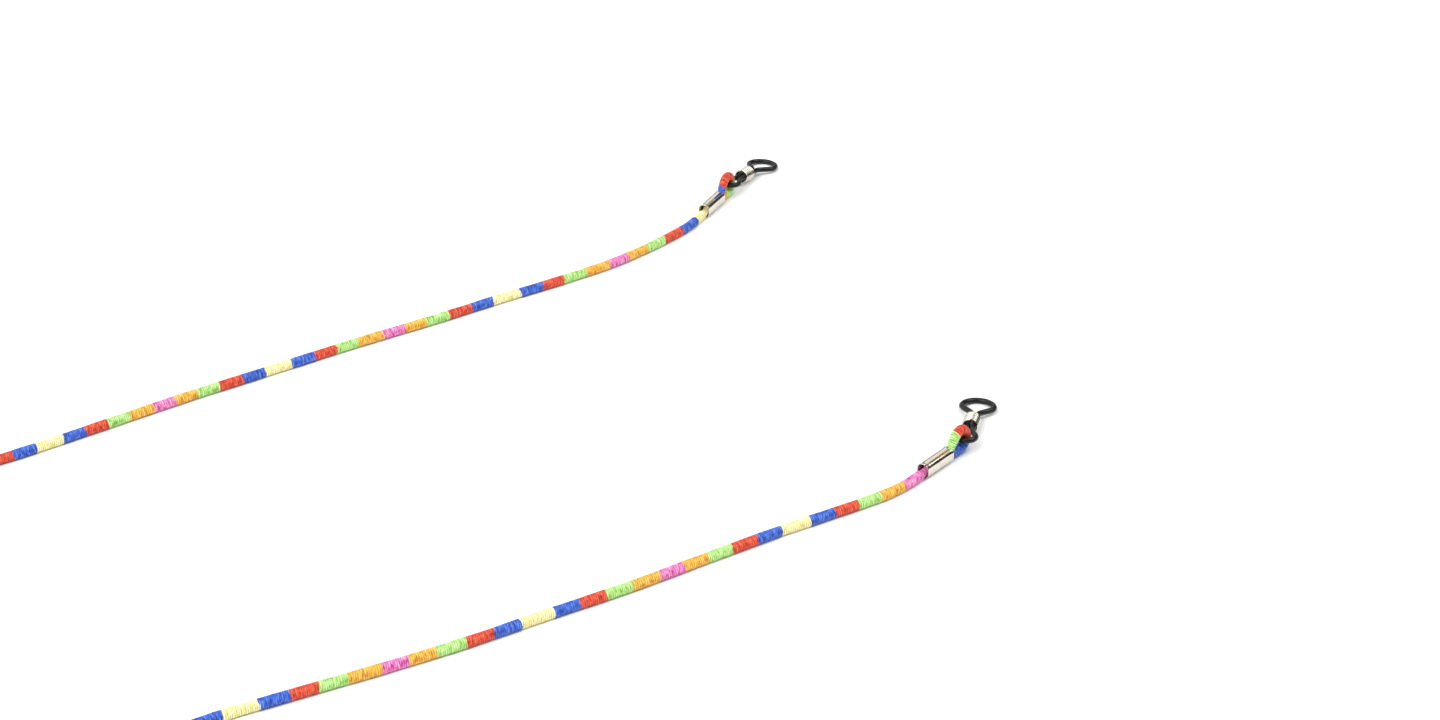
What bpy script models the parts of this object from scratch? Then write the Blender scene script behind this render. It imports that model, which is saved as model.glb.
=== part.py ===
"""Eyeglass retainer strap: a thread-wrapped cord with a rubber temple loop linked to each end.

Units are metres. +X points to the eyewear, +Y to the wearer's left and +Z up. The strap lies on z = 0.
Each end is built in its own frame: u runs along the ferrule, away from the cord, v to its left and w up.
Each rubber loop has a frame of its own too: p runs from the link to the tip and q to the left.
"""

import math

import bmesh
import bpy
from mathutils import Matrix, Vector

# Cord: a round core under a jacket of wound thread.
CORD_D = 0.0025
JACKET_WALL = 0.0004
CORE_GAP = 0.0003
CORD_POINTS = 80
BEVEL_RES = 2

# Ferrule: a strip of sheet metal rolled round both strands, with an open seam.
FERRULE_L = 0.0100
FERRULE_W = 0.0033
FERRULE_H = 0.0038
FERRULE_CORNER = 0.0013
SHEET = 0.0003
SEAM_DEG = 24.0
SEAM_GAP = 0.0005
CORNER_STEPS = 7
STRAND_FIT = 0.0002
END_GAP = 0.0003

# Eye: the cord folded back on itself beyond the ferrule.
LINK_CLEAR = 0.0005
EYE_REACH = 0.0045
TAIL_START = 0.0045
SWELL_L = 0.0028
EYE_WALL = 0.0003
EYE_CORE_GAP = 0.0001
EYE_SIDES = 12
EYE_STEP = 0.0007

# Rubber loop: a closed ring of round cord, pinched by the coil into a link and a temple loop.
RUBBER_D = 0.0014
LEG_GAP = 0.0001
WRAP_GAP = 0.00035
LEGS_FROM = 0.0048
LEGS_TO = 0.0136
LOOP_FLARE = 0.0050
LOOP_R = 0.0039
RING_STEPS = 12
RING_RES = 3

# Coil: a close-wound spring that slides on both legs of the rubber loop.
COIL_WIRE_D = 0.00048
COIL_FIT = 0.00011
COIL_PITCH = 0.00078
COIL_TURNS = 6.5
COIL_FROM = 0.0056
COIL_STEPS = 16

# Way of each rubber loop from the line of its ferrule.
LOOP_YAW_DEG = {"right": 26.0, "left": -3.0}

# Middle of the cord along the table, from the right ferrule round the bight to the left one.
ROUTE = [
    (-0.0350, -0.0820), (-0.0398, -0.0834), (-0.0455, -0.0843), (-0.0530, -0.0844),
    (-0.0620, -0.0840), (-0.0770, -0.0834), (-0.0960, -0.0833), (-0.1150, -0.0833),
    (-0.1340, -0.0824), (-0.1550, -0.0816), (-0.1740, -0.0799), (-0.1910, -0.0779),
    (-0.2070, -0.0762), (-0.2250, -0.0756), (-0.2430, -0.0738), (-0.2600, -0.0680),
    (-0.2760, -0.0576), (-0.2890, -0.0435), (-0.2975, -0.0275), (-0.3010, -0.0120),
    (-0.2990, 0.0040), (-0.2915, 0.0195), (-0.2790, 0.0328), (-0.2630, 0.0422),
    (-0.2450, 0.0466), (-0.2260, 0.0470), (-0.2070, 0.0459), (-0.1820, 0.0471),
    (-0.1600, 0.0484), (-0.1360, 0.0490), (-0.1150, 0.0496), (-0.0910, 0.0495),
    (-0.0720, 0.0499), (-0.0530, 0.0499), (-0.0375, 0.0506), (-0.0255, 0.0526),
    (-0.0165, 0.0549), (-0.0095, 0.0571), (-0.0043, 0.0595), (0.0000, 0.0620),
]

# Sizes that follow from the ones above.
CORD_R = CORD_D / 2
RUBBER_R = RUBBER_D / 2
STRAND_A = FERRULE_W / 2 - SHEET - STRAND_FIT
STRAND_B = (FERRULE_H - 2 * SHEET - 2 * STRAND_FIT - END_GAP) / 4
LOWER_W = SHEET + STRAND_FIT + STRAND_B
UPPER_W = FERRULE_H - SHEET - STRAND_FIT - STRAND_B
EYE_R = RUBBER_R + LINK_CLEAR + CORD_R
EYE_U = FERRULE_L + EYE_REACH
EYE_W = CORD_R + EYE_R
LINK_R = CORD_R + WRAP_GAP + RUBBER_R
LEG_Q = RUBBER_R + LEG_GAP / 2
LOOP_P = LEGS_TO + LOOP_FLARE
TIP_P = LOOP_P + LOOP_R
LOOP_TILT = math.asin((EYE_W - RUBBER_R) / (TIP_P + LINK_R))
PIVOT_U = EYE_U + EYE_R
PIVOT_W = EYE_W - LINK_R * math.sin(LOOP_TILT)
COIL_R = LEG_Q + RUBBER_R + COIL_FIT + COIL_WIRE_D / 2


def clear_scene():
    for obj in list(bpy.data.objects):
        bpy.data.objects.remove(obj, do_unlink=True)


def material(name, color, roughness, metallic=0.0):
    mat = bpy.data.materials.new(name)
    mat.use_nodes = True
    shader = mat.node_tree.nodes["Principled BSDF"]
    shader.inputs["Base Color"].default_value = (*color, 1.0)
    shader.inputs["Roughness"].default_value = roughness
    shader.inputs["Metallic"].default_value = metallic
    return mat


def add_object(name, data, mat, parent=None, place=None):
    """Link an object under its parent, with its place given in the parent's frame."""
    obj = bpy.data.objects.new(name, data)
    strap.objects.link(obj)
    obj.parent = parent
    obj.matrix_basis = place or Matrix()
    if mat:
        data.materials.append(mat)
    return obj


def smooth_line(points, steps=24):
    """Centripetal Catmull-Rom curve through the points."""
    pts = [Vector(p) for p in points]
    pts = [2 * pts[0] - pts[1], *pts, 2 * pts[-1] - pts[-2]]
    line = []
    for a, b, c, d in zip(pts, pts[1:], pts[2:], pts[3:]):
        t1 = (b - a).length ** 0.5
        t2 = t1 + (c - b).length ** 0.5
        t3 = t2 + (d - c).length ** 0.5
        for i in range(steps):
            t = t1 + (t2 - t1) * i / steps
            ab = a.lerp(b, t / t1)
            bc = b.lerp(c, (t - t1) / (t2 - t1))
            cd = c.lerp(d, (t - t2) / (t3 - t2))
            left = ab.lerp(bc, t / t2)
            right = bc.lerp(cd, (t - t1) / (t3 - t1))
            line.append(left.lerp(right, (t - t1) / (t2 - t1)))
    return [*line, pts[-2]]


def spaced(line, count):
    """The line again, as evenly spaced points."""
    lengths = [0.0]
    for a, b in zip(line, line[1:]):
        lengths.append(lengths[-1] + (b - a).length)
    found, i = [], 0
    for k in range(count):
        want = lengths[-1] * k / (count - 1)
        while i < len(line) - 2 and lengths[i + 1] < want:
            i += 1
        found.append(line[i].lerp(line[i + 1], (want - lengths[i]) / (lengths[i + 1] - lengths[i])))
    return found


def wire(name, points, radius, cyclic=False, caps=True, resolution=BEVEL_RES):
    """A round wire through the points."""
    curve = bpy.data.curves.new(name, "CURVE")
    curve.dimensions = "3D"
    curve.bevel_depth = radius
    curve.bevel_resolution = resolution
    curve.use_fill_caps = caps
    spline = curve.splines.new("POLY")
    spline.points.add(len(points) - 1)
    for point, place in zip(spline.points, points):
        point.co = (*place, 1.0)
    spline.use_cyclic_u = cyclic
    return curve


def as_mesh(obj):
    """The same object with its curve made a mesh."""
    curve = obj.data
    mesh = bpy.data.meshes.new_from_object(obj.evaluated_get(bpy.context.evaluated_depsgraph_get()))
    name, mat = obj.name, obj.matrix_world.copy()
    bpy.data.objects.remove(obj)
    bpy.data.curves.remove(curve)
    made = bpy.data.objects.new(name, mesh)
    strap.objects.link(made)
    made.matrix_world = mat
    return made


def add_wall(obj, wall):
    """Thicken an open surface inwards."""
    solidify = obj.modifiers.new("wall", "SOLIDIFY")
    solidify.thickness = wall
    solidify.offset = -1.0
    solidify.use_even_offset = True
    return obj


def smooth_shade(mesh):
    mesh.shade_smooth()
    mesh.set_sharp_from_angle(angle=math.radians(40))


def oval_loft(name, path, halves, sides, caps):
    """A tube along a path in the u-w plane, with an oval of its own size at each point."""
    bm = bmesh.new()
    rings = []
    for i, (place, (half_v, half_n)) in enumerate(zip(path, halves)):
        along = (path[min(i + 1, len(path) - 1)] - path[max(i - 1, 0)]).normalized()
        normal = Vector((-along.z, 0.0, along.x))
        ring = []
        for k in range(sides):
            turn = 2 * math.pi * k / sides
            offset = normal * (half_n * math.sin(turn)) - Vector((0, half_v * math.cos(turn), 0))
            ring.append(bm.verts.new(place + offset))
        rings.append(ring)
    for a, b in zip(rings, rings[1:]):
        for k in range(sides):
            j = (k + 1) % sides
            bm.faces.new((a[k], a[j], b[j], b[k]))
    if caps:
        bm.faces.new(rings[0][::-1])
        bm.faces.new(rings[-1])
    bmesh.ops.recalc_face_normals(bm, faces=bm.faces)
    mesh = bpy.data.meshes.new(name)
    bm.to_mesh(mesh)
    bm.free()
    smooth_shade(mesh)
    return mesh


def ease(share):
    share = min(max(share, 0.0), 1.0)
    return share * share * (3 - 2 * share)


def half_sizes(path, less):
    """Half sizes of the strand: squeezed flat in the ferrule, round outside it."""
    sizes = []
    for place in path:
        free = ease((place.x - FERRULE_L) / SWELL_L)
        half_v = STRAND_A + (CORD_R - STRAND_A) * free - less
        half_n = STRAND_B + (CORD_R - STRAND_B) * free - less
        sizes.append((half_v, half_n))
    return sizes


def eye_path():
    """Up through the ferrule and out on top, round the eye and back in along the table as the tail."""
    arc = [math.radians(a) for a in range(90, -91, -15)]
    bend = [(EYE_U + EYE_R * math.cos(a), 0.0, EYE_W + EYE_R * math.sin(a)) for a in arc]
    top = EYE_W + EYE_R
    rise = top - UPPER_W
    climb = UPPER_W - CORD_R
    out = [
        (0.0, 0.0, CORD_R),
        (TAIL_START * 0.30, 0.0, CORD_R + 0.14 * climb),
        (TAIL_START * 0.60, 0.0, CORD_R + 0.76 * climb),
        (TAIL_START * 0.90, 0.0, UPPER_W),
        (FERRULE_L * 0.8, 0.0, UPPER_W),
        (FERRULE_L, 0.0, UPPER_W + 0.01 * rise),
        (EYE_U - 0.80 * EYE_REACH, 0.0, top - 0.82 * rise),
        (EYE_U - 0.58 * EYE_REACH, 0.0, top - 0.46 * rise),
        (EYE_U - 0.33 * EYE_REACH, 0.0, top - 0.14 * rise),
    ]
    back = [(EYE_U - 0.4 * EYE_REACH, 0.0, CORD_R)]
    back += [(FERRULE_L + (TAIL_START - FERRULE_L) * s, 0.0, LOWER_W) for s in (0.0, 0.5, 1.0)]
    line = smooth_line(out + bend + back)
    length = sum((b - a).length for a, b in zip(line, line[1:]))
    return spaced(line, round(length / EYE_STEP) + 1)


def make_eye(side, frame):
    """The folded cord of one end: its jacket and its core."""
    path = eye_path()
    jacket = oval_loft(f"{side}_cord_eye", path, half_sizes(path, 0.0), EYE_SIDES, caps=False)
    add_wall(add_object(f"{side}_cord_eye", jacket, thread_mat, frame), EYE_WALL)
    core = half_sizes(path, EYE_WALL + EYE_CORE_GAP)
    add_object(
        f"{side}_eye_core",
        oval_loft(f"{side}_eye_core", path, core, EYE_SIDES, caps=True),
        core_mat,
        frame,
    )


def make_ferrule(side, frame):
    """A rolled strip with rounded corners, open along its seam."""
    a = FERRULE_W / 2 - FERRULE_CORNER
    low, high = FERRULE_CORNER, FERRULE_H - FERRULE_CORNER
    half_seam = math.degrees(SEAM_GAP / 2 / FERRULE_CORNER)
    corners = [
        (-a, high, SEAM_DEG + half_seam, 90),
        (-a, low, 90, 180),
        (a, low, 180, 270),
        (a, high, 270, 360),
        (-a, high, 0, SEAM_DEG - half_seam),
    ]
    outline = []
    for v, w, start, stop in corners:
        for k in range(CORNER_STEPS):
            turn = math.radians(start + (stop - start) * k / (CORNER_STEPS - 1))
            outline.append((v - FERRULE_CORNER * math.sin(turn), w + FERRULE_CORNER * math.cos(turn)))
    bm = bmesh.new()
    verts = [bm.verts.new((0.0, v, w)) for v, w in outline]
    edges = [bm.edges.new(pair) for pair in zip(verts, verts[1:])]
    pulled = bmesh.ops.extrude_edge_only(bm, edges=edges)["geom"]
    moved = [item for item in pulled if isinstance(item, bmesh.types.BMVert)]
    bmesh.ops.translate(bm, verts=moved, vec=(FERRULE_L, 0.0, 0.0))
    bm.normal_update()
    middle = Vector((FERRULE_L / 2, 0.0, FERRULE_H / 2))
    if sum(f.normal.dot(f.calc_center_median() - middle) for f in bm.faces) < 0:
        bmesh.ops.reverse_faces(bm, faces=bm.faces)
    mesh = bpy.data.meshes.new(f"{side}_ferrule")
    bm.to_mesh(mesh)
    bm.free()
    smooth_shade(mesh)
    add_wall(add_object(f"{side}_ferrule", mesh, nickel_mat, frame), SHEET)


def ring_half():
    """Left half of the rubber ring's middle line, from the link's apex to the loop's tip."""
    half = []
    for k in range(RING_STEPS + 1):
        turn = math.pi / 2 * k / RING_STEPS
        half.append((-LINK_R * math.cos(turn), LINK_R * math.sin(turn)))
    for k in range(1, RING_STEPS + 1):
        share = k / RING_STEPS
        half.append((LEGS_FROM * share, LEG_Q + (LINK_R - LEG_Q) * (1 + math.cos(math.pi * share)) / 2))
    for k in range(1, RING_STEPS // 2 + 1):
        half.append((LEGS_FROM + (LEGS_TO - LEGS_FROM) * k * 2 / RING_STEPS, LEG_Q))
    for k in range(1, RING_STEPS + 1):
        share = k / RING_STEPS
        half.append((LEGS_TO + LOOP_FLARE * share, LEG_Q + (LOOP_R - LEG_Q) * (1 - math.cos(math.pi * share)) / 2))
    for k in range(1, RING_STEPS + 1):
        turn = math.pi / 2 * k / RING_STEPS
        half.append((LOOP_P + LOOP_R * math.sin(turn), LOOP_R * math.cos(turn)))
    return half


def make_rubber(side, pivot):
    half = ring_half()
    ring = [(p, q, 0.0) for p, q in half] + [(p, -q, 0.0) for p, q in half[-2:0:-1]]
    curve = wire(f"{side}_rubber_loop", ring, RUBBER_R, cyclic=True, resolution=RING_RES)
    add_object(f"{side}_rubber_loop", curve, rubber_mat, pivot)


def make_coil(side, pivot):
    count = round(COIL_TURNS * COIL_STEPS) + 1
    length = COIL_TURNS * COIL_PITCH
    turns = []
    for k in range(count):
        turn = 2 * math.pi * k / COIL_STEPS
        along = length * (k / (count - 1) - 0.5)
        turns.append((along, COIL_R * math.sin(turn), COIL_R * math.cos(turn)))
    curve = wire(f"{side}_clamp_coil", turns, COIL_WIRE_D / 2)
    middle = COIL_FROM + (length + COIL_WIRE_D) / 2
    add_object(f"{side}_clamp_coil", curve, nickel_mat, pivot, Matrix.Translation((middle, 0.0, 0.0)))


def make_end(side, cord_end, before):
    """Everything past one end of the free cord, lined up with the cord's last stretch."""
    way = (cord_end - before).normalized()
    heading = math.atan2(way.y, way.x)
    mouth = cord_end + way * END_GAP
    frame = add_object(f"{side}_end_frame", None, None)
    frame.matrix_basis = Matrix.Translation((mouth.x, mouth.y, 0.0)) @ Matrix.Rotation(heading, 4, "Z")
    make_ferrule(side, frame)
    make_eye(side, frame)
    pivot = add_object(f"{side}_link_pivot", None, None, frame)
    pivot.matrix_basis = (
        Matrix.Translation((PIVOT_U, 0.0, PIVOT_W))
        @ Matrix.Rotation(math.radians(LOOP_YAW_DEG[side]), 4, "Z")
        @ Matrix.Rotation(LOOP_TILT, 4, "Y")
    )
    make_rubber(side, pivot)
    make_coil(side, pivot)


def make_cord():
    """The free cord on the table: the jacket of wound thread and the core inside it."""
    line = spaced(smooth_line([(x, y, CORD_R) for x, y in ROUTE]), CORD_POINTS)
    jacket = add_object("cord_jacket", wire("cord_jacket", line, CORD_R, caps=False), thread_mat)
    bpy.context.view_layer.update()
    add_wall(as_mesh(jacket), JACKET_WALL)
    core = wire("cord_core", line, CORD_R - JACKET_WALL - CORE_GAP)
    add_object("cord_core", core, core_mat)


clear_scene()
strap = bpy.data.collections.new("eyeglass_retainer_strap")
bpy.context.scene.collection.children.link(strap)
thread_mat = material("wound_thread", (0.62, 0.22, 0.20), 0.55)
core_mat = material("cotton_core", (0.72, 0.68, 0.60), 0.85)
rubber_mat = material("black_rubber", (0.012, 0.012, 0.014), 0.42)
nickel_mat = material("nickel_plate", (0.72, 0.70, 0.66), 0.18, 1.0)

make_cord()
ends = [Vector((x, y, 0.0)) for x, y in ROUTE]
make_end("right", ends[0], ends[1])
make_end("left", ends[-1], ends[-2])
bpy.context.view_layer.update()
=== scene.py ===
# %% [markdown]
# # An eyeglass retainer strap
# The strap keeps a pair of glasses round the neck. One long cord runs between two ends, and each end is
# a chain of four small things: the cord folded into an eye, a metal ferrule that grips the fold, a rubber
# loop linked through the eye, and a spring that slides along the loop to close it on a temple. Right and
# left are the wearer's sides, and the wearer faces along X.
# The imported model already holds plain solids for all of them. It is loaded first, as the fixed frame
# that every detailed piece is fitted to and rides on.

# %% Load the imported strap
import math

import bpy
import numpy as np
from mathutils import Matrix, Vector


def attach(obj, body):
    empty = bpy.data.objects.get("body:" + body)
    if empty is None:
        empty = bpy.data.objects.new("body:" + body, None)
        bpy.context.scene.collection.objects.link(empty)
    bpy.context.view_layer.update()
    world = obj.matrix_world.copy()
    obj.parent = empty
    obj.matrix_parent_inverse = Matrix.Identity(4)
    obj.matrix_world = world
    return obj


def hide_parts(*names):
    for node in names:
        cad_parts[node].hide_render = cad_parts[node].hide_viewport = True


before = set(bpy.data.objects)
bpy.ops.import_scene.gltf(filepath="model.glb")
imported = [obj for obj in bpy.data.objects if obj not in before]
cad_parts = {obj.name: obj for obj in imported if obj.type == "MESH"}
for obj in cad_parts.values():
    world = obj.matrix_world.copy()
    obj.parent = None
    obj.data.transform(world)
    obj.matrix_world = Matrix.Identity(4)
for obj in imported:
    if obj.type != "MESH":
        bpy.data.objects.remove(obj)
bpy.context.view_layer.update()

MM = 0.001
print("nodes:", sorted(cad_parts))

# %% [markdown]
# ## Where the viewer stands
# The strap lies on a table and is seen from behind on the wearer's right, looking down a little under
# 30 degrees. A long lens keeps both strands of cord nearly parallel, as catalogues like it. The camera
# could be aimed with a constraint, but three turns say the same thing plainly: round to its heading,
# down by its pitch, and a trace of roll.

# %% Place the camera
CAMERA_AT = (-0.3655, -0.4971, 0.3224)
HEADING_DEG = -33.53
PITCH_DEG = 28.8
ROLL_DEG = -0.6

lens = bpy.data.cameras.new("catalogue_lens")
lens.lens = 67.08
lens.sensor_width = 36.0
lens.clip_start = 0.01
lens.clip_end = 60.0
camera = bpy.data.objects.new("catalogue_camera", lens)
bpy.context.scene.collection.objects.link(camera)
camera.matrix_world = (
    Matrix.Translation(CAMERA_AT)
    @ Matrix.Rotation(math.radians(HEADING_DEG), 4, "Z")
    @ Matrix.Rotation(math.radians(90 - PITCH_DEG), 4, "X")
    @ Matrix.Rotation(math.radians(ROLL_DEG), 4, "Z")
)
bpy.context.scene.camera = camera
bpy.context.scene.view_settings.view_transform = "Standard"
print("camera stands", round(Vector(CAMERA_AT).length, 3), "m from the origin")

# %% [markdown]
# ## Nodes and colours
# Colours are given as sRGB hex values, but shaders count light, so one function turns them
# linear. Materials are small networks, so one more function adds a node, sets it and links it, and a
# third starts a new material. Longer helpers could hide more, but then the networks couldn't be read.

# %% Three helpers for materials
def linear(hex_colour):
    """An sRGB hex colour as linear red, green, blue and alpha."""
    parts = [int(hex_colour[i : i + 2], 16) / 255 for i in (1, 3, 5)]
    return (*[c / 12.92 if c <= 0.04045 else ((c + 0.055) / 1.055) ** 2.4 for c in parts], 1.0)


def add_node(tree, kind, settings=None, links=None):
    """One new node. Settings name its sockets or its options, and links name the outputs that feed it."""
    node = tree.nodes.new(kind)
    for name, value in (settings or {}).items():
        if isinstance(name, int) or name in node.inputs:
            node.inputs[name].default_value = value
        else:
            setattr(node, name, value)
    for name, source in (links or {}).items():
        tree.links.new(source, node.inputs[name])
    return node


def new_material(name):
    """An empty material with its node tree and its shader."""
    mat = bpy.data.materials.new(name)
    mat.use_nodes = True
    return mat, mat.node_tree, mat.node_tree.nodes["Principled BSDF"]


print("#808080 is", round(linear("#808080")[0], 3), "of full light")

# %% [markdown]
# ## The winding
# The cord is a soft core with thread wound round it so tightly that each turn lies against the next.
# The eye reads it as a fine ribbing across the cord. A bump map could fake that, but its outline would
# stay smooth, so the ribs are real: the tube is made of rows, three to a turn of thread, and the first
# row of each turn sits in the groove between two turns. The real thread is about 0.25 mm wide, too fine
# to show here, so it is drawn 0.48 mm wide.

# %% Sizes of the cord and its thread
CORD_R = 1.25 * MM
THREAD_W = 0.48 * MM
GROOVE = 0.08 * MM
ROWS_A_TURN = 3
SIDES = 18
LEAN = 0.09 * MM
row_step = THREAD_W / ROWS_A_TURN
print("rows of the winding are", round(row_step / MM, 3), "mm apart")

# %% [markdown]
# A route is a few points that a smooth curve runs through. The centripetal kind of Catmull-Rom curve
# passes through every point without overshooting, which suits a limp cord.

# %% Smooth lines
def smooth_line(points, steps=24):
    """Centripetal Catmull-Rom curve through the points."""
    pts = [Vector(p) for p in points]
    pts = [2 * pts[0] - pts[1], *pts, 2 * pts[-1] - pts[-2]]
    line = []
    for a, b, c, d in zip(pts, pts[1:], pts[2:], pts[3:]):
        t1 = (b - a).length ** 0.5
        t2 = t1 + (c - b).length ** 0.5
        t3 = t2 + (d - c).length ** 0.5
        for t in np.linspace(t1, t2, steps, endpoint=False):
            ab = a.lerp(b, t / t1)
            bc = b.lerp(c, (t - t1) / (t2 - t1))
            cd = c.lerp(d, (t - t2) / (t3 - t2))
            line.append(ab.lerp(bc, t / t2).lerp(bc.lerp(cd, (t - t1) / (t3 - t1)), (t - t1) / (t2 - t1)))
    return np.array([*line, pts[-2]])


def distances(line):
    """How far along the line each of its points is."""
    return np.concatenate([[0.0], np.cumsum(np.linalg.norm(np.diff(line, axis=0), axis=1))])


def in_rows(line):
    """The line again with one point for each row of the winding."""
    along = distances(line)
    rows = np.linspace(0.0, along[-1], round(along[-1] / row_step) + 1)
    return np.stack([np.interp(rows, along, line[:, i]) for i in range(3)], axis=1)


print("a straight metre measures", round(distances(smooth_line([(0, 0, 0), (1, 0, 0)]))[-1], 6))

# %% [markdown]
# ## The route of the cord
# The free cord leaves the right ferrule, runs back along the table, turns in one wide bight and comes
# home to the left ferrule. It is limp, so it only ever lies flat on the table in slack curves.

# %% Lay out the route
ROUTE = [
    (-0.0350, -0.0820), (-0.0398, -0.0834), (-0.0455, -0.0843), (-0.0530, -0.0844),
    (-0.0620, -0.0840), (-0.0770, -0.0834), (-0.0960, -0.0833), (-0.1150, -0.0833),
    (-0.1340, -0.0824), (-0.1550, -0.0816), (-0.1740, -0.0799), (-0.1910, -0.0779),
    (-0.2070, -0.0762), (-0.2250, -0.0756), (-0.2430, -0.0738), (-0.2600, -0.0680),
    (-0.2760, -0.0576), (-0.2890, -0.0435), (-0.2975, -0.0275), (-0.3010, -0.0120),
    (-0.2990, 0.0040), (-0.2915, 0.0195), (-0.2790, 0.0328), (-0.2630, 0.0422),
    (-0.2450, 0.0466), (-0.2260, 0.0470), (-0.2070, 0.0459), (-0.1820, 0.0471),
    (-0.1600, 0.0484), (-0.1360, 0.0490), (-0.1150, 0.0496), (-0.0910, 0.0495),
    (-0.0720, 0.0499), (-0.0530, 0.0499), (-0.0375, 0.0506), (-0.0255, 0.0526),
    (-0.0165, 0.0549), (-0.0095, 0.0571), (-0.0043, 0.0595), (0.0000, 0.0620),
]
END_GAP = 0.3 * MM
TUCKED = 0.9 * MM


def end_frame(end, before):
    """The frame of one end: origin under the ferrule's mouth, X along the ferrule, Y left and Z up."""
    way = (Vector(end) - Vector(before)).normalized()
    mouth = Vector(end) + way * END_GAP
    return Matrix.Translation((mouth.x, mouth.y, 0.0)) @ Matrix.Rotation(math.atan2(way.y, way.x), 4, "Z")


ends = {"right": end_frame(ROUTE[0], ROUTE[1]), "left": end_frame(ROUTE[-1], ROUTE[-2])}
tucked = {side: ends[side] @ Vector((TUCKED, 0.0, CORD_R)) for side in ends}
free_line = smooth_line([tucked["right"], *[(x, y, CORD_R) for x, y in ROUTE], tucked["left"]])
free_length = distances(free_line)[-1]
print("free cord:", round(free_length, 4), "m")

# %% [markdown]
# ## The bands of colour
# The maker changes the thread's colour every 6 or 7 mm. The colours run there and back: pink, orange,
# green, red, blue, yellow and the same way back to pink. So the order is the same from either end, and
# only the place in it where the ferrule bites differs. The winding of the left half closes up a little
# away from its ferrule, so its bands get shorter.

# %% Colours and lengths of the bands
BANDS = [
    ("pink", 6.1), ("orange", 7.2), ("green", 6.3), ("red", 6.3), ("blue", 6.5),
    ("yellow", 7.8), ("blue", 6.4), ("red", 6.6), ("green", 6.5), ("orange", 6.3),
]
DYES = ["pink", "orange", "green", "red", "blue", "yellow"]
PAST_HALF_MM = 340


def band_list(first, first_mm, far_mm, stretch=1.0, closing=0.0):
    """The bands from a ferrule's mouth, as pairs of where one ends and its dye."""
    found, at, i = [(first_mm, DYES.index(BANDS[first][0]))], first_mm, first
    while at < far_mm:
        i += 1
        dye, length = BANDS[i % len(BANDS)]
        at += length * (stretch - closing * at)
        found.append((at, DYES.index(dye)))
    return found


def dyes_at(bands, at_mm):
    """The dye's number at each of these distances."""
    edges = [edge for edge, _ in bands]
    return np.array([dye for _, dye in bands])[np.searchsorted(edges[:-1], at_mm)]


right_bands = band_list(0, 7.3, PAST_HALF_MM)
left_bands = band_list(5, 5.6, PAST_HALF_MM, stretch=1.11, closing=0.00115)
print("bands on the right half:", len(right_bands), "and on the left half:", len(left_bands))

# %% [markdown]
# ## Making a wound tube
# One function makes every stretch of cord. Each row is an oval round the line. A turn of thread swells
# or sinks a little beside its neighbours, leans a little because it is a helix, and the whole cord is
# slightly thicker and thinner in places, as hand-guided winding is. The edge between two colours is a
# little ragged because the two threads meet at a different place round the cord.
# The UV map holds millimetres along and round the cord, so patterns can follow the thread. A swept
# curve would be quicker to make, but it could carry neither the grooves nor this map.

# %% The wound tube
UNEVEN_TURN = 0.010 * MM
UNEVEN_LEAN = 0.02 * MM
SWELLS = ((0.016, 2.9), (0.014, 1.7))
RAGGED = ((0.16, 3.1), (0.10, 1.3))


def wound_tube(name, line, across, half_across, half_up, from_mm, bands_at, seed):
    """A closed tube of wound thread along a line of rows. bands_at gives the dye at a distance in mm."""
    rng = np.random.default_rng(seed)
    rows = len(line)
    along = np.gradient(line, axis=0)
    along /= np.linalg.norm(along, axis=1, keepdims=True)
    up = np.cross(along, across)
    turn = np.arange(rows) // ROWS_A_TURN
    in_groove = np.arange(rows) % ROWS_A_TURN == 0
    proud = rng.normal(0.0, UNEVEN_TURN, turn[-1] + 1)[turn] - GROOVE * in_groove
    lean = LEAN + rng.normal(0.0, UNEVEN_LEAN, turn[-1] + 1)[turn]
    at = from_mm + np.arange(rows) * row_step / MM
    swell = 1 + sum(share * np.sin(at / wave_mm + n * seed) for n, (share, wave_mm) in enumerate(SWELLS, 1))
    angle = 2 * math.pi * np.arange(SIDES) / SIDES - math.pi / 2
    wide = (half_across * swell + proud)[:, None] * np.cos(angle)
    high = (half_up * swell + proud)[:, None] * np.sin(angle)
    places = (
        line[:, None]
        + across[:, None] * wide[..., None]
        + up[:, None] * high[..., None]
        + along[:, None] * (lean[:, None] * np.cos(angle))[..., None]
    )
    near = np.arange(rows - 1)[:, None] * SIDES
    k = np.arange(SIDES)
    after = (k + 1) % SIDES
    quads = np.stack([near + k, near + after, near + SIDES + after, near + SIDES + k], axis=2).reshape(-1, 4)
    first, last = k[::-1], (rows - 1) * SIDES + k
    mesh = bpy.data.meshes.new(name)
    mesh.from_pydata(places.reshape(-1, 3).tolist(), [], [*quads.tolist(), first.tolist(), last.tolist()])

    middle = at[:-1, None] + 0.5 * row_step / MM
    ragged = sum(
        edge_mm * np.sin(n * angle[None] + middle / wave_mm) for n, (edge_mm, wave_mm) in enumerate(RAGGED, 1)
    )
    dye = bands_at(middle + ragged)
    mesh.polygons.foreach_set("material_index", [*dye.ravel().tolist(), len(DYES), len(DYES)])
    mesh.polygons.foreach_set("use_smooth", [True] * len(quads) + [False, False])

    round_mm = 2 * math.pi * CORD_R / MM / SIDES
    corner_at = np.stack([at[:-1], at[:-1], at[1:], at[1:]], axis=1)[:, None].repeat(SIDES, axis=1)
    corner_round = np.stack([k, k + 1, k + 1, k], axis=1)[None].repeat(rows - 1, axis=0) * round_mm
    wall_uv = np.stack([corner_at, corner_round], axis=3).reshape(-1, 2)
    cap_uv = np.stack([np.cos(angle), np.sin(angle)], axis=1)
    uv = mesh.uv_layers.new(name="winding")
    uv.data.foreach_set("uv", np.concatenate([wall_uv, cap_uv[::-1], cap_uv]).ravel())
    tube = bpy.data.objects.new(name, mesh)
    bpy.context.scene.collection.objects.link(tube)
    return tube


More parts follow.
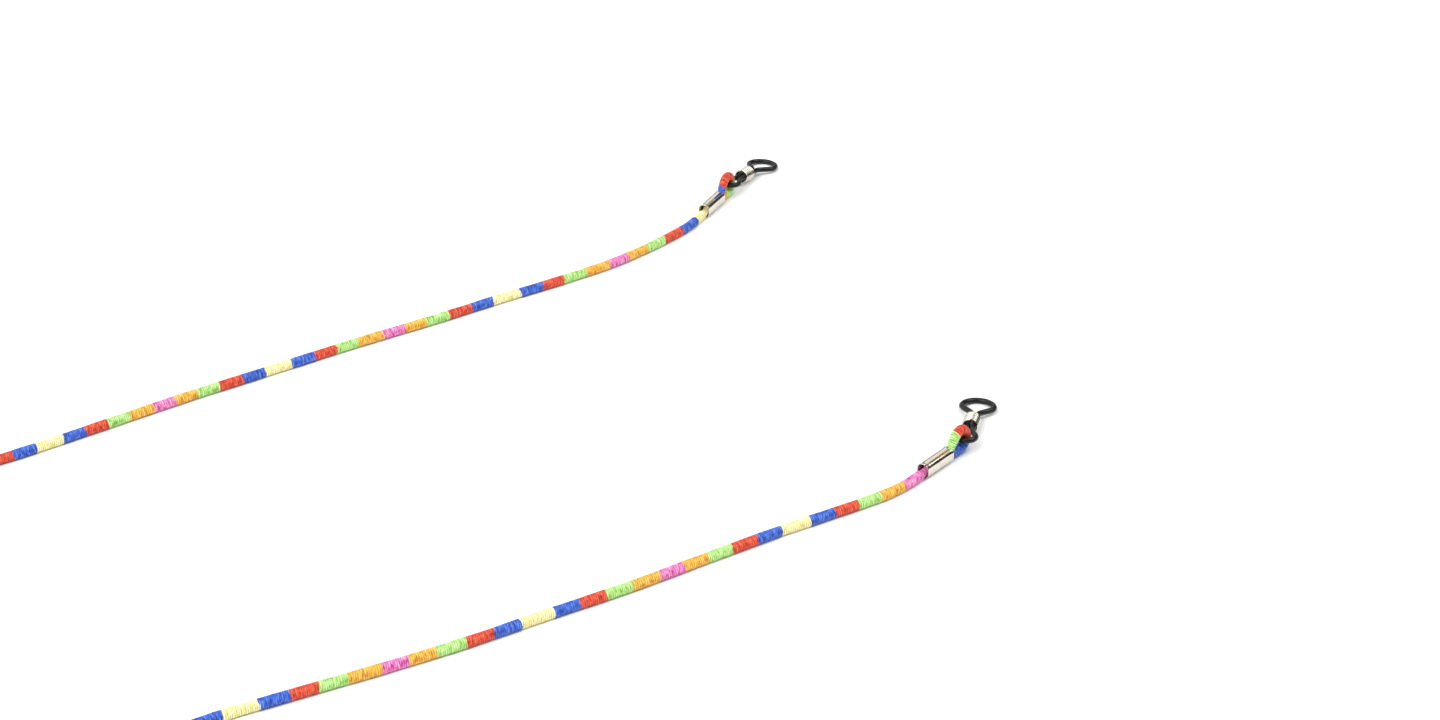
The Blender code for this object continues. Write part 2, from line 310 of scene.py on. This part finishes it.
print("turns of thread in 10 mm of cord:", round(10 * MM / THREAD_W, 1))

# %% [markdown]
# ## The free cord
# Most of it is round. Where it enters a ferrule the sheet squeezes it flat and lifts it a hair over the
# ferrule's lower lip, and it is tucked 0.9 mm inside, so no gap shows at the mouth. The squeeze is a
# smooth step along the rows. A lattice could do it too, but a step keeps its size exact.

# %% Make the free cord
SQUEEZED_A = 1.15 * MM
SQUEEZED_B = 0.625 * MM
SQUEEZE_L = 1.6 * MM
LIP_LIFT = 0.12 * MM


def ease(share):
    """A smooth step from 0 to 1."""
    share = np.clip(share, 0.0, 1.0)
    return share * share * (3 - 2 * share)


cord_line = in_rows(free_line)
cord_at = distances(cord_line)
from_end = np.minimum(cord_at, cord_at[-1] - cord_at)
freed = ease((from_end - TUCKED) / SQUEEZE_L)
cord_line[:, 2] += LIP_LIFT * (1 - ease((from_end - TUCKED) / (3 * SQUEEZE_L)))
heading = np.gradient(cord_line, axis=0)
cord_across = np.stack([-heading[:, 1], heading[:, 0], np.zeros(len(heading))], axis=1)
cord_across /= np.linalg.norm(cord_across, axis=1, keepdims=True)


def free_bands(at_mm):
    """Bands counted from the right mouth on the first half and from the left mouth on the second."""
    home = cord_at[-1] / MM - 2 * TUCKED / MM
    return np.where(at_mm < home / 2, dyes_at(right_bands, at_mm), dyes_at(left_bands, home - at_mm))


free_cord = wound_tube(
    "free_cord", cord_line, cord_across,
    SQUEEZED_A + (CORD_R - SQUEEZED_A) * freed, SQUEEZED_B + (CORD_R - SQUEEZED_B) * freed,
    -TUCKED / MM, free_bands, seed=3,
)
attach(free_cord, "cord")
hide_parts("cord_jacket", "cord_core")
print("free cord:", len(free_cord.data.polygons), "faces along", round(cord_at[-1], 4), "m")

# %% [markdown]
# ## The folded eye
# Past the ferrule's mouth the cord climbs over its own tail, comes out on top, bends round in an eye and
# goes back into the ferrule along the table. Inside, both strands are squeezed into flat ovals. The
# points between are shares of the climb and the rise, so the curve keeps its shape if a size changes.

# %% Path and size of the eye
FERRULE_L = 10.0 * MM
FERRULE_H = 3.8 * MM
LOWER_W = 1.125 * MM
UPPER_W = 2.675 * MM
EYE_R = 2.45 * MM
EYE_U = 14.5 * MM
EYE_REACH = 4.5 * MM
TAIL_START = 4.5 * MM
SWELL_L = 2.8 * MM
eye_w = CORD_R + EYE_R
eye_top = eye_w + EYE_R
climb = UPPER_W - CORD_R
rise = eye_top - UPPER_W

arc = [math.radians(a) for a in range(90, -91, -15)]
eye_points = [
    (0.0, 0.0, CORD_R),
    (TAIL_START * 0.30, 0.0, CORD_R + 0.14 * climb),
    (TAIL_START * 0.60, 0.0, CORD_R + 0.76 * climb),
    (TAIL_START * 0.90, 0.0, UPPER_W),
    (FERRULE_L * 0.8, 0.0, UPPER_W),
    (FERRULE_L, 0.0, UPPER_W + 0.01 * rise),
    (EYE_U - 0.80 * EYE_REACH, 0.0, eye_top - 0.82 * rise),
    (EYE_U - 0.58 * EYE_REACH, 0.0, eye_top - 0.46 * rise),
    (EYE_U - 0.33 * EYE_REACH, 0.0, eye_top - 0.14 * rise),
    *[(EYE_U + EYE_R * math.cos(a), 0.0, eye_w + EYE_R * math.sin(a)) for a in arc],
    (EYE_U - 0.4 * EYE_REACH, 0.0, CORD_R),
    *[(FERRULE_L + (TAIL_START - FERRULE_L) * s, 0.0, LOWER_W) for s in (0.0, 0.5, 1.0)],
]
eye_line = smooth_line(eye_points)
eye_line = in_rows(eye_line[distances(eye_line) >= TUCKED])
print("folded cord:", round(distances(eye_line)[-1] / MM, 1), "mm")

# %% [markdown]
# Both ends have the same eye, placed by the frame of its own ferrule. Mirroring one would turn its
# winding round, so each is made afresh and only its bands and its unevenness differ.

# %% Make both eyes
EYE_BANDS = {
    "right": band_list(0, 2.4, 40, stretch=0.85, closing=-0.012),
    "left": band_list(5, 6.2, 40),
}
eye_free = ease((eye_line[:, 0] - FERRULE_L) / SWELL_L)
eyes = {}
for side, place in ends.items():
    turn_to = np.array(place.to_3x3())
    eye = wound_tube(
        f"{side}_folded_eye",
        eye_line @ turn_to.T + np.array(place.translation),
        np.tile(turn_to[:, 1], (len(eye_line), 1)),
        SQUEEZED_A + (CORD_R - SQUEEZED_A) * eye_free,
        SQUEEZED_B + (CORD_R - SQUEEZED_B) * eye_free,
        TUCKED / MM,
        lambda at_mm, bands=EYE_BANDS[side]: dyes_at(bands, at_mm),
        seed=5 if side == "right" else 8,
    )
    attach(eye, "cord")
    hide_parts(f"{side}_cord_eye", f"{side}_eye_core")
    eyes[side] = eye
    print(eye.name, len(eye.data.polygons), "faces")

# %% [markdown]
# ## The thread
# It is mercerised cotton: long smooth fibres with a low silky shine. Light streaks run with the fibres,
# which here means round the cord. Each turn takes the dye a little differently, and the streaks also
# carry painted sheen and painted shade, from a pale lit copy and a deep shaded copy of each dye. So the
# pattern is noise stretched along the thread, one thread wide. A second, larger noise mixes in paler
# patches of painted sheen, and the grooves between turns are darkened, since little light gets into
# them. Fine fibres lift the surface, and the streaks also change its gloss.

# %% Six colours of thread
STREAK_MM = 1.7
FIBRE_MM = 0.14
SHEEN_PATCH_MM = 3.5
# Each dye: a deep copy that paints shade, its body colour, and a pale copy that paints sheen.
THREADS = {
    "pink": ("#B8288A", "#EC74BA", "#F8B4DA"),
    "orange": ("#BE7204", "#F0AF2A", "#FFD46C"),
    "green": ("#6CB034", "#AEE27A", "#D2F6A8"),
    "red": ("#A01A06", "#DE3A14", "#F06E46"),
    "blue": ("#0A2A88", "#1F57C8", "#5A88EA"),
    "yellow": ("#E0CE60", "#FCF0A6", "#FFFBD6"),
}


def thread_material(dye):
    """Mercerised cotton thread in one dye, from its shaded, body and lit colours, which paint shade and
    sheen.
    """
    shaded_deep, body, lit_pale = THREADS[dye]
    mat, tree, shader = new_material(f"mercerised_cotton_{dye}")
    place = add_node(tree, "ShaderNodeUVMap", {"uv_map": "winding"})
    strands = add_node(
        tree, "ShaderNodeMapping",
        {"Scale": (1 / (THREAD_W / MM), 1 / STREAK_MM, 1.0)}, {"Vector": place.outputs["UV"]},
    )
    streaks = add_node(
        tree, "ShaderNodeTexNoise", {"Scale": 1.0, "Detail": 3.0, "Roughness": 0.55},
        {"Vector": strands.outputs["Vector"]},
    )
    # Partly dye, partly painted sheen and shade: streak noise picks between the shaded, body and lit copies.
    colours = add_node(tree, "ShaderNodeValToRGB", links={"Fac": streaks.outputs["Fac"]})
    ramp = colours.color_ramp
    ramp.elements[0].position, ramp.elements[0].color = 0.34, linear(shaded_deep)
    ramp.elements[1].position, ramp.elements[1].color = 0.66, linear(lit_pale)
    ramp.elements.new(0.50).color = linear(body)
    # Painted sheen: a larger noise mixes patches of the dye towards its lit copy.
    patches = add_node(
        tree, "ShaderNodeTexNoise", {"Scale": 1 / SHEEN_PATCH_MM, "Detail": 2.0},
        {"Vector": place.outputs["UV"]},
    )
    painted_sheen_share = add_node(
        tree, "ShaderNodeMapRange",
        {"From Min": 0.52, "From Max": 0.80, "To Min": 0.0, "To Max": 0.35},
        {"Value": patches.outputs["Fac"]},
    )
    mixed = add_node(
        tree, "ShaderNodeMix", {"data_type": "RGBA", 7: linear(lit_pale)},
        {0: painted_sheen_share.outputs["Result"], 6: colours.outputs["Color"]},
    )
    along = add_node(tree, "ShaderNodeSeparateXYZ", links={"Vector": place.outputs["UV"]})
    to_groove = add_node(
        tree, "ShaderNodeMapRange",
        {"From Min": -TUCKED / MM, "From Max": THREAD_W / MM - TUCKED / MM, "To Max": 1.0, "clamp": False},
        {"Value": along.outputs["X"]},
    )
    across_turn = add_node(
        tree, "ShaderNodeMath", {"operation": "PINGPONG", 1: 0.5}, {0: to_groove.outputs["Result"]}
    )
    shade = add_node(
        tree, "ShaderNodeMapRange", {"From Max": 0.25, "To Min": 0.50, "To Max": 1.0},
        {"Value": across_turn.outputs["Value"]},
    )
    grooved = add_node(
        tree, "ShaderNodeMix", {"data_type": "RGBA", "blend_type": "MULTIPLY", 0: 1.0},
        {6: mixed.outputs[2], 7: shade.outputs["Result"]},
    )
    tree.links.new(grooved.outputs[2], shader.inputs["Base Color"])
    gloss = add_node(
        tree, "ShaderNodeMapRange",
        {"From Min": 0.3, "From Max": 0.7, "To Min": 0.62, "To Max": 0.40},
        {"Value": streaks.outputs["Fac"]},
    )
    tree.links.new(gloss.outputs["Result"], shader.inputs["Roughness"])
    fibres = add_node(
        tree, "ShaderNodeMapping",
        {"Scale": (1 / FIBRE_MM, 1 / STREAK_MM, 1.0)}, {"Vector": place.outputs["UV"]},
    )
    lay = add_node(
        tree, "ShaderNodeTexNoise", {"Scale": 1.0, "Detail": 2.0}, {"Vector": fibres.outputs["Vector"]}
    )
    bump = add_node(
        tree, "ShaderNodeBump", {"Strength": 0.6, "Distance": 0.03 * MM}, {"Height": lay.outputs["Fac"]}
    )
    tree.links.new(bump.outputs["Normal"], shader.inputs["Normal"])
    shader.inputs["IOR"].default_value = 1.53
    shader.inputs["Sheen Weight"].default_value = 0.08
    shader.inputs["Sheen Roughness"].default_value = 0.4
    return mat


print("streaks are", round(THREAD_W / MM, 2), "mm wide and about", STREAK_MM, "mm long")

# %% [markdown]
# ## The core
# The cut ends of the cord, deep in the ferrules, show undyed twisted cotton: matt, cream and a little
# fluffy. Plain noise a fibre bundle wide is enough for so small a face.

# %% Cotton core
BUNDLE_MM = 0.3
core_mat, core_tree, core_shader = new_material("twisted_cotton_core")
core_place = add_node(core_tree, "ShaderNodeTexCoord")
core_fluff = add_node(
    core_tree, "ShaderNodeTexNoise", {"Scale": 1 / (BUNDLE_MM * MM), "Detail": 4.0},
    {"Vector": core_place.outputs["Object"]},
)
core_colours = add_node(core_tree, "ShaderNodeValToRGB", links={"Fac": core_fluff.outputs["Fac"]})
core_colours.color_ramp.elements[0].color = linear("#CFC4AE")
core_colours.color_ramp.elements[1].color = linear("#F1EADC")
core_tree.links.new(core_colours.outputs["Color"], core_shader.inputs["Base Color"])
core_shader.inputs["Roughness"].default_value = 0.9
print(core_mat.name, "has", len(core_tree.nodes), "nodes")

# %% [markdown]
# Every face of a wound piece already knows the number of its dye. So the pieces share one list of
# materials, and the core comes last in it, for the cut ends.

# %% Give the cord its threads
thread_mats = [thread_material(dye) for dye in DYES]
for piece in (free_cord, *eyes.values()):
    for mat in (*thread_mats, core_mat):
        piece.data.materials.append(mat)
for node in ("cord_jacket", "right_cord_eye", "left_cord_eye"):
    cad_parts[node].material_slots[0].material = thread_mats[DYES.index("red")]
for node in ("cord_core", "right_eye_core", "left_eye_core"):
    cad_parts[node].material_slots[0].material = core_mat
print("threads:", [mat.name for mat in thread_mats])

# %% [markdown]
# ## The ferrule
# It is a strip of thin sheet pressed round both strands in a rounded oblong. Its edges don't quite meet:
# the seam is almost closed at the mouth and open at the eye, where the cord spreads it. The sheet is
# made as one open surface, from stations along the ferrule that share one outline and differ in their
# seam and their flare. Solidify gives it its thickness and Bevel rounds its lips, and those rounded lips
# are what catches the light.

# %% Outline of the ferrule
FERRULE_W = 3.3 * MM
CORNER = 1.5 * MM
SHEET = 0.3 * MM
SEAM_DEG = 24.0
SEAM_AT_MOUTH = 0.25 * MM
SEAM_AT_EYE = 0.70 * MM
FLARE = 0.07 * MM
FLARE_L = 0.7 * MM
PINCH = 0.02 * MM
LIP_R = 0.10 * MM
STATIONS_MM = (0.0, 0.12, 0.3, 0.55, 1.0, 2.0, 3.5, 5.0, 6.5, 8.0, 9.0, 9.45, 9.7, 9.88, 10.0)
ROUND = 72
CORNER_STEPS = 16
side_v = FERRULE_W / 2 - CORNER
outline = []
for v, w, start in (
    (-side_v, FERRULE_H - CORNER, 0), (-side_v, CORNER, 90),
    (side_v, CORNER, 180), (side_v, FERRULE_H - CORNER, 270),
):
    for step in range(CORNER_STEPS + 1):
        a = math.radians(start + 90 * step / CORNER_STEPS)
        outline.append((v - CORNER * math.sin(a), w + CORNER * math.cos(a), 0.0))
outline = np.array([*outline, outline[0]])
round_at = distances(outline)
seam_at = CORNER * math.radians(SEAM_DEG)
print("sheet strip:", round(round_at[-1] / MM, 2), "mm round")

# %% [markdown]
# Stations stand closer at the two mouths, where the sheet flares. Between them it is pinched a hair
# tighter, which bends its reflections a little, as pressed sheet does.

# %% Fold the ferrules
def folded_sheet(name, place):
    """The open surface of one ferrule, with its modifiers."""
    middle = np.array([0.0, FERRULE_H / 2])
    stations = np.array(STATIONS_MM) * MM
    verts, faces = [], []
    for u in stations:
        seam = SEAM_AT_MOUTH + (SEAM_AT_EYE - SEAM_AT_MOUTH) * (u / FERRULE_L) ** 1.5
        walk = seam_at + seam / 2 + np.linspace(0.0, round_at[-1] - seam, ROUND)
        walk = np.where(walk > round_at[-1], walk - round_at[-1], walk)
        ring = np.stack([np.interp(walk, round_at, outline[:, i]) for i in (0, 1)], axis=1)
        to_end = min(u, FERRULE_L - u)
        flared = FLARE * (1 - ease(to_end / FLARE_L)) - PINCH * math.sin(math.pi * u / FERRULE_L)
        away = ring - middle
        ring = ring + away / np.linalg.norm(away, axis=1, keepdims=True) * flared
        ring[:, 1] = np.maximum(ring[:, 1], 0.0)
        verts += [place @ Vector((u, v, w)) for v, w in ring]
    for i in range(len(stations) - 1):
        for k in range(ROUND - 1):
            a = i * ROUND + k
            faces.append((a, a + ROUND, a + ROUND + 1, a + 1))
    mesh = bpy.data.meshes.new(name)
    mesh.from_pydata(verts, [], faces)
    mesh.shade_smooth()
    sleeve = bpy.data.objects.new(name, mesh)
    bpy.context.scene.collection.objects.link(sleeve)
    wall = sleeve.modifiers.new("sheet", "SOLIDIFY")
    wall.thickness = SHEET
    wall.offset = 1.0
    lips = sleeve.modifiers.new("rolled_lips", "BEVEL")
    lips.width = LIP_R
    lips.segments = 3
    lips.limit_method = "ANGLE"
    lips.angle_limit = math.radians(50)
    return sleeve


sleeves = {}
for side, place in ends.items():
    sleeve = folded_sheet(f"{side}_folded_ferrule", place)
    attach(sleeve, "cord")
    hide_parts(f"{side}_ferrule")
    sleeves[side] = sleeve
    print(sleeve.name, len(sleeve.data.polygons), "faces before its modifiers")

# %% [markdown]
# ## The rubber loop
# It is one closed ring of round moulded cord. A small bend wraps the eye's outermost thread, both legs
# run side by side through the spring, and the rest opens into the loop that grips a temple. Its outline
# could be drawn as Bezier handles, but arcs and cosine steps say where each stretch starts and ends.
# Half of it is worked out and the other half is its mirror.

# %% Shape of the rubber ring
RUBBER_R = 0.7 * MM
LEG_Q = 0.75 * MM
LINK_R = 2.3 * MM
LEGS_FROM = 4.8 * MM
LEGS_TO = 13.6 * MM
LOOP_FLARE = 5.0 * MM
LOOP_R = 3.9 * MM
LOOP_YAW_DEG = {"right": 26.0, "left": -3.0}
loop_p = LEGS_TO + LOOP_FLARE
pivot_u = EYE_U + EYE_R
loop_tilt = math.asin((eye_w - RUBBER_R) / (loop_p + LOOP_R + LINK_R))
pivot_w = eye_w - LINK_R * math.sin(loop_tilt)
shares = np.linspace(0.0, 1.0, 33)
quarter = shares * math.pi / 2
bend = np.stack([-LINK_R * np.cos(quarter), LINK_R * np.sin(quarter)], axis=1)
neck = np.stack([LEGS_FROM * shares, LEG_Q + (LINK_R - LEG_Q) * (1 + np.cos(math.pi * shares)) / 2], axis=1)
legs = np.stack([LEGS_FROM + (LEGS_TO - LEGS_FROM) * shares, np.full_like(shares, LEG_Q)], axis=1)
flare = np.stack(
    [LEGS_TO + LOOP_FLARE * shares, LEG_Q + (LOOP_R - LEG_Q) * (1 - np.cos(math.pi * shares)) / 2], axis=1
)
tip = np.stack([loop_p + LOOP_R * np.sin(quarter), LOOP_R * np.cos(quarter)], axis=1)
half_ring = np.concatenate([bend, neck[1:], legs[1::2], flare[1:], tip[1:]])
ring_points = [(p, q, 0.0) for p, q in half_ring] + [(p, -q, 0.0) for p, q in half_ring[-2:0:-1]]
print("rubber ring:", len(ring_points), "points, tilted", round(math.degrees(loop_tilt), 2), "degrees")

# %% [markdown]
# Rubber and spring wire are both round and even, so a bevelled curve is the right tool for them. It is
# turned into a mesh at once, so that its size can be measured. One frame per side carries them: the
# pivot in the eye, turned to the loop's heading and tipped until its far end rests on the table.

# %% Place a swept wire
def swept_wire(name, points, radius, place, cyclic, resolution):
    """A round wire through the points of a frame."""
    curve = bpy.data.curves.new(name, "CURVE")
    curve.dimensions = "3D"
    curve.bevel_depth = radius
    curve.bevel_resolution = resolution
    curve.use_fill_caps = not cyclic
    spline = curve.splines.new("POLY")
    spline.points.add(len(points) - 1)
    for point, co in zip(spline.points, points):
        point.co = (*co, 1.0)
    spline.use_cyclic_u = cyclic
    swept = bpy.data.objects.new(name, curve)
    bpy.context.scene.collection.objects.link(swept)
    mesh = bpy.data.meshes.new_from_object(swept.evaluated_get(bpy.context.evaluated_depsgraph_get()))
    bpy.data.objects.remove(swept)
    bpy.data.curves.remove(curve)
    mesh.name = name
    mesh.shade_smooth()
    made = bpy.data.objects.new(name, mesh)
    bpy.context.scene.collection.objects.link(made)
    made.matrix_world = place
    return made


pivots = {}
for side, place in ends.items():
    pivots[side] = (
        place
        @ Matrix.Translation((pivot_u, 0.0, pivot_w))
        @ Matrix.Rotation(math.radians(LOOP_YAW_DEG[side]), 4, "Z")
        @ Matrix.Rotation(loop_tilt, 4, "Y")
    )
loops = {}
for side, pivot in pivots.items():
    loop = swept_wire(f"{side}_moulded_loop", ring_points, RUBBER_R, pivot, cyclic=True, resolution=6)
    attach(loop, f"{side}_loop")
    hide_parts(f"{side}_rubber_loop")
    loops[side] = loop
    print(loop.name, "rides", f"{side}_loop")

# %% [markdown]
# ## The clamp spring
# Springs like this are wound from hard wire on a mandrel, with a gap a little over half a wire wide
# between the turns. Its two ends are part closed: over its last 0.8 turn the wire tucks in towards its
# neighbour, which makes the ends squarer.

# %% Wind the springs
WIRE_R = 0.24 * MM
COIL_R = 1.8 * MM
PITCH = 0.78 * MM
TURNS = 6.5
COIL_FROM = 5.6 * MM
CLOSED_TURNS = 0.8
CLOSED_BY = 0.18 * PITCH
STEPS = 36
spring_turns = np.linspace(0.0, TURNS, round(TURNS * STEPS) + 1)
closed = CLOSED_BY * (
    ease(1 - spring_turns / CLOSED_TURNS) - ease((spring_turns - TURNS + CLOSED_TURNS) / CLOSED_TURNS)
)
spring_along = COIL_FROM + WIRE_R + spring_turns * PITCH + closed
spring_points = np.stack(
    [spring_along, COIL_R * np.sin(2 * math.pi * spring_turns), COIL_R * np.cos(2 * math.pi * spring_turns)],
    axis=1,
)
springs = {}
for side, pivot in pivots.items():
    spring = swept_wire(f"{side}_clamp_spring", spring_points, WIRE_R, pivot, cyclic=False, resolution=4)
    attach(spring, f"{side}_coil")
    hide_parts(f"{side}_clamp_coil")
    springs[side] = spring
print("spring:", round((spring_along[-1] - spring_along[0] + 2 * WIRE_R) / MM, 2), "mm long")

# %% [markdown]
# ## Nickel plate
# Ferrule and spring are steel with bright nickel: a warm grey mirror, softened by handling. Roughness
# starts from polished plate, about 0.1, and rises in duller patches about 2 mm wide, which also shift its
# tone a little. Fine marks are in the bump alone.

# %% Bright nickel
MARK_MM = 0.25
DULL_MM = 2.0
nickel, nickel_tree, nickel_shader = new_material("bright_nickel_plate")
nickel_place = add_node(nickel_tree, "ShaderNodeTexCoord")
nickel_marks = add_node(
    nickel_tree, "ShaderNodeTexNoise", {"Scale": 1 / (MARK_MM * MM), "Detail": 3.0},
    {"Vector": nickel_place.outputs["Object"]},
)
nickel_dull = add_node(
    nickel_tree, "ShaderNodeTexNoise", {"Scale": 1 / (DULL_MM * MM), "Detail": 3.0},
    {"Vector": nickel_place.outputs["Object"]},
)
nickel_rough = add_node(
    nickel_tree, "ShaderNodeMapRange",
    {"From Min": 0.35, "From Max": 0.75, "To Min": 0.09, "To Max": 0.24},
    {"Value": nickel_dull.outputs["Fac"]},
)
nickel_tone = add_node(nickel_tree, "ShaderNodeValToRGB", links={"Fac": nickel_dull.outputs["Fac"]})
nickel_tone.color_ramp.elements[0].position = 0.3
nickel_tone.color_ramp.elements[0].color = linear("#CBC4B8")
nickel_tone.color_ramp.elements[1].position = 0.7
nickel_tone.color_ramp.elements[1].color = linear("#DDD7CC")
nickel_bump = add_node(
    nickel_tree, "ShaderNodeBump", {"Strength": 0.25, "Distance": 0.01 * MM},
    {"Height": nickel_marks.outputs["Fac"]},
)
nickel_tree.links.new(nickel_tone.outputs["Color"], nickel_shader.inputs["Base Color"])
nickel_tree.links.new(nickel_rough.outputs["Result"], nickel_shader.inputs["Roughness"])
nickel_tree.links.new(nickel_bump.outputs["Normal"], nickel_shader.inputs["Normal"])
nickel_shader.inputs["Metallic"].default_value = 1.0
print(nickel.name, "has", len(nickel_tree.nodes), "nodes")

# %% [markdown]
# ## Moulded rubber
# The loops are black synthetic rubber. It is never quite black: a satin skin gives soft grey highlights,
# and a fine grain from the mould breaks them up.

# %% Satin black rubber
GRAIN_MM = 0.18
BLOOM_MM = 3.0
rubber, rubber_tree, rubber_shader = new_material("moulded_black_rubber")
rubber_place = add_node(rubber_tree, "ShaderNodeTexCoord")
rubber_grain = add_node(
    rubber_tree, "ShaderNodeTexNoise", {"Scale": 1 / (GRAIN_MM * MM), "Detail": 3.0},
    {"Vector": rubber_place.outputs["Object"]},
)
rubber_bloom = add_node(
    rubber_tree, "ShaderNodeTexNoise", {"Scale": 1 / (BLOOM_MM * MM), "Detail": 2.0},
    {"Vector": rubber_place.outputs["Object"]},
)
rubber_tone = add_node(rubber_tree, "ShaderNodeValToRGB", links={"Fac": rubber_bloom.outputs["Fac"]})
rubber_tone.color_ramp.elements[0].position = 0.35
rubber_tone.color_ramp.elements[0].color = linear("#070708")
rubber_tone.color_ramp.elements[1].position = 0.75
rubber_tone.color_ramp.elements[1].color = linear("#0F0F11")
rubber_rough = add_node(
    rubber_tree, "ShaderNodeMapRange", {"To Min": 0.25, "To Max": 0.38},
    {"Value": rubber_bloom.outputs["Fac"]},
)
rubber_bump = add_node(
    rubber_tree, "ShaderNodeBump", {"Strength": 0.3, "Distance": 0.02 * MM},
    {"Height": rubber_grain.outputs["Fac"]},
)
rubber_tree.links.new(rubber_tone.outputs["Color"], rubber_shader.inputs["Base Color"])
rubber_tree.links.new(rubber_rough.outputs["Result"], rubber_shader.inputs["Roughness"])
rubber_tree.links.new(rubber_bump.outputs["Normal"], rubber_shader.inputs["Normal"])
rubber_shader.inputs["IOR"].default_value = 1.52
rubber_shader.inputs["Specular IOR Level"].default_value = 0.3
print(rubber.name, "has", len(rubber_tree.nodes), "nodes")

# %% [markdown]
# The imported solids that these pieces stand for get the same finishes, so that both models read alike.

# %% Give metal and rubber to their pieces
for side in ends:
    for piece in (sleeves[side], springs[side]):
        piece.data.materials.append(nickel)
    loops[side].data.materials.append(rubber)
    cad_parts[f"{side}_ferrule"].material_slots[0].material = nickel
    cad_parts[f"{side}_clamp_coil"].material_slots[0].material = nickel
    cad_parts[f"{side}_rubber_loop"].material_slots[0].material = rubber
print("finished:", [piece.name for piece in (*sleeves.values(), *springs.values(), *loops.values())])

# %% [markdown]
# ## Table and light
# The strap lies on a white table in soft light from all round, so its shadows are faint and close. Nickel
# needs something to mirror, so the light comes from two large soft panels and a room that fades from
# bright to dim. A ring of dark card stands within the bright part, and bright metal mirrors it as the
# crisp dark line that makes it read as metal.

# %% Floor
REACH = 8.0
floor_mesh = bpy.data.meshes.new("table_top")
floor_mesh.from_pydata(
    [(-REACH, -REACH, 0), (REACH, -REACH, 0), (REACH, REACH, 0), (-REACH, REACH, 0)], [], [(0, 1, 2, 3)]
)
floor = bpy.data.objects.new("table_top", floor_mesh)
bpy.context.scene.collection.objects.link(floor)
floor_mat, _, floor_shader = new_material("white_card")
floor_shader.inputs["Base Color"].default_value = linear("#F7F7F6")
floor_shader.inputs["Roughness"].default_value = 0.9
floor_shader.inputs["Specular IOR Level"].default_value = 0.2
floor_mesh.materials.append(floor_mat)
print("table:", 2 * REACH, "m square")

# %% [markdown]
# The room is a ramp of light round one bright direction, which leans a third of the way down from
# overhead. It is dimmest on the side away from it. A recorded studio would do the same, but a ramp needs
# no file and each of its steps is plain.

# %% Room light
BRIGHT_WAY = (-0.42, 0.30, 0.86)
ROOM_STEPS = ((0.42, 0.18), (0.60, 1.0), (0.72, 1.0), (0.76, 0.12), (0.86, 0.12), (0.90, 1.0))
world = bpy.data.worlds.new("studio_room")
bpy.context.scene.world = world
world.use_nodes = True
room = world.node_tree.nodes["Background"]
room_way = add_node(world.node_tree, "ShaderNodeTexCoord")
room_side = add_node(
    world.node_tree, "ShaderNodeVectorMath", {"operation": "DOT_PRODUCT", 1: BRIGHT_WAY},
    {0: room_way.outputs["Generated"]},
)
room_share = add_node(
    world.node_tree, "ShaderNodeMapRange", {"From Min": -0.1, "From Max": 0.7},
    {"Value": room_side.outputs["Value"]},
)
room_ramp = add_node(world.node_tree, "ShaderNodeValToRGB", links={"Fac": room_share.outputs["Result"]})
room_ramp.color_ramp.elements[0].position = 0.0
room_ramp.color_ramp.elements[0].color = (0.04, 0.04, 0.042, 1.0)
room_ramp.color_ramp.elements[1].position = 1.0
room_ramp.color_ramp.elements[1].color = (1.0, 1.0, 1.0, 1.0)
for share, glow in ROOM_STEPS:
    room_ramp.color_ramp.elements.new(share).color = (glow, glow, glow, 1.0)
world.node_tree.links.new(room_ramp.outputs["Color"], room.inputs["Color"])
room.inputs["Strength"].default_value = 1.25
print("room light has", len(room_ramp.color_ramp.elements), "steps")

# %% [markdown]
# Two large panels add soft shadows and long highlights. Sun lamps would cut hard shadows on the table.

# %% Soft panels
def soft_panel(name, at, size, watts):
    """A square panel of light aimed near the strap's middle."""
    light = bpy.data.lights.new(name, "AREA")
    light.shape = "SQUARE"
    light.size = size
    light.energy = watts
    panel = bpy.data.objects.new(name, light)
    bpy.context.scene.collection.objects.link(panel)
    panel.location = at
    panel.rotation_euler = (Vector((-0.1, 0.0, 0.0)) - Vector(at)).to_track_quat("-Z", "Y").to_euler()


soft_panel("panel_left", (-1.25, -0.25, 1.2), 1.1, 15.5)
soft_panel("panel_right", (0.9, -0.6, 1.3), 0.9, 13.0)
print("lights:", [light.name for light in bpy.data.lights])
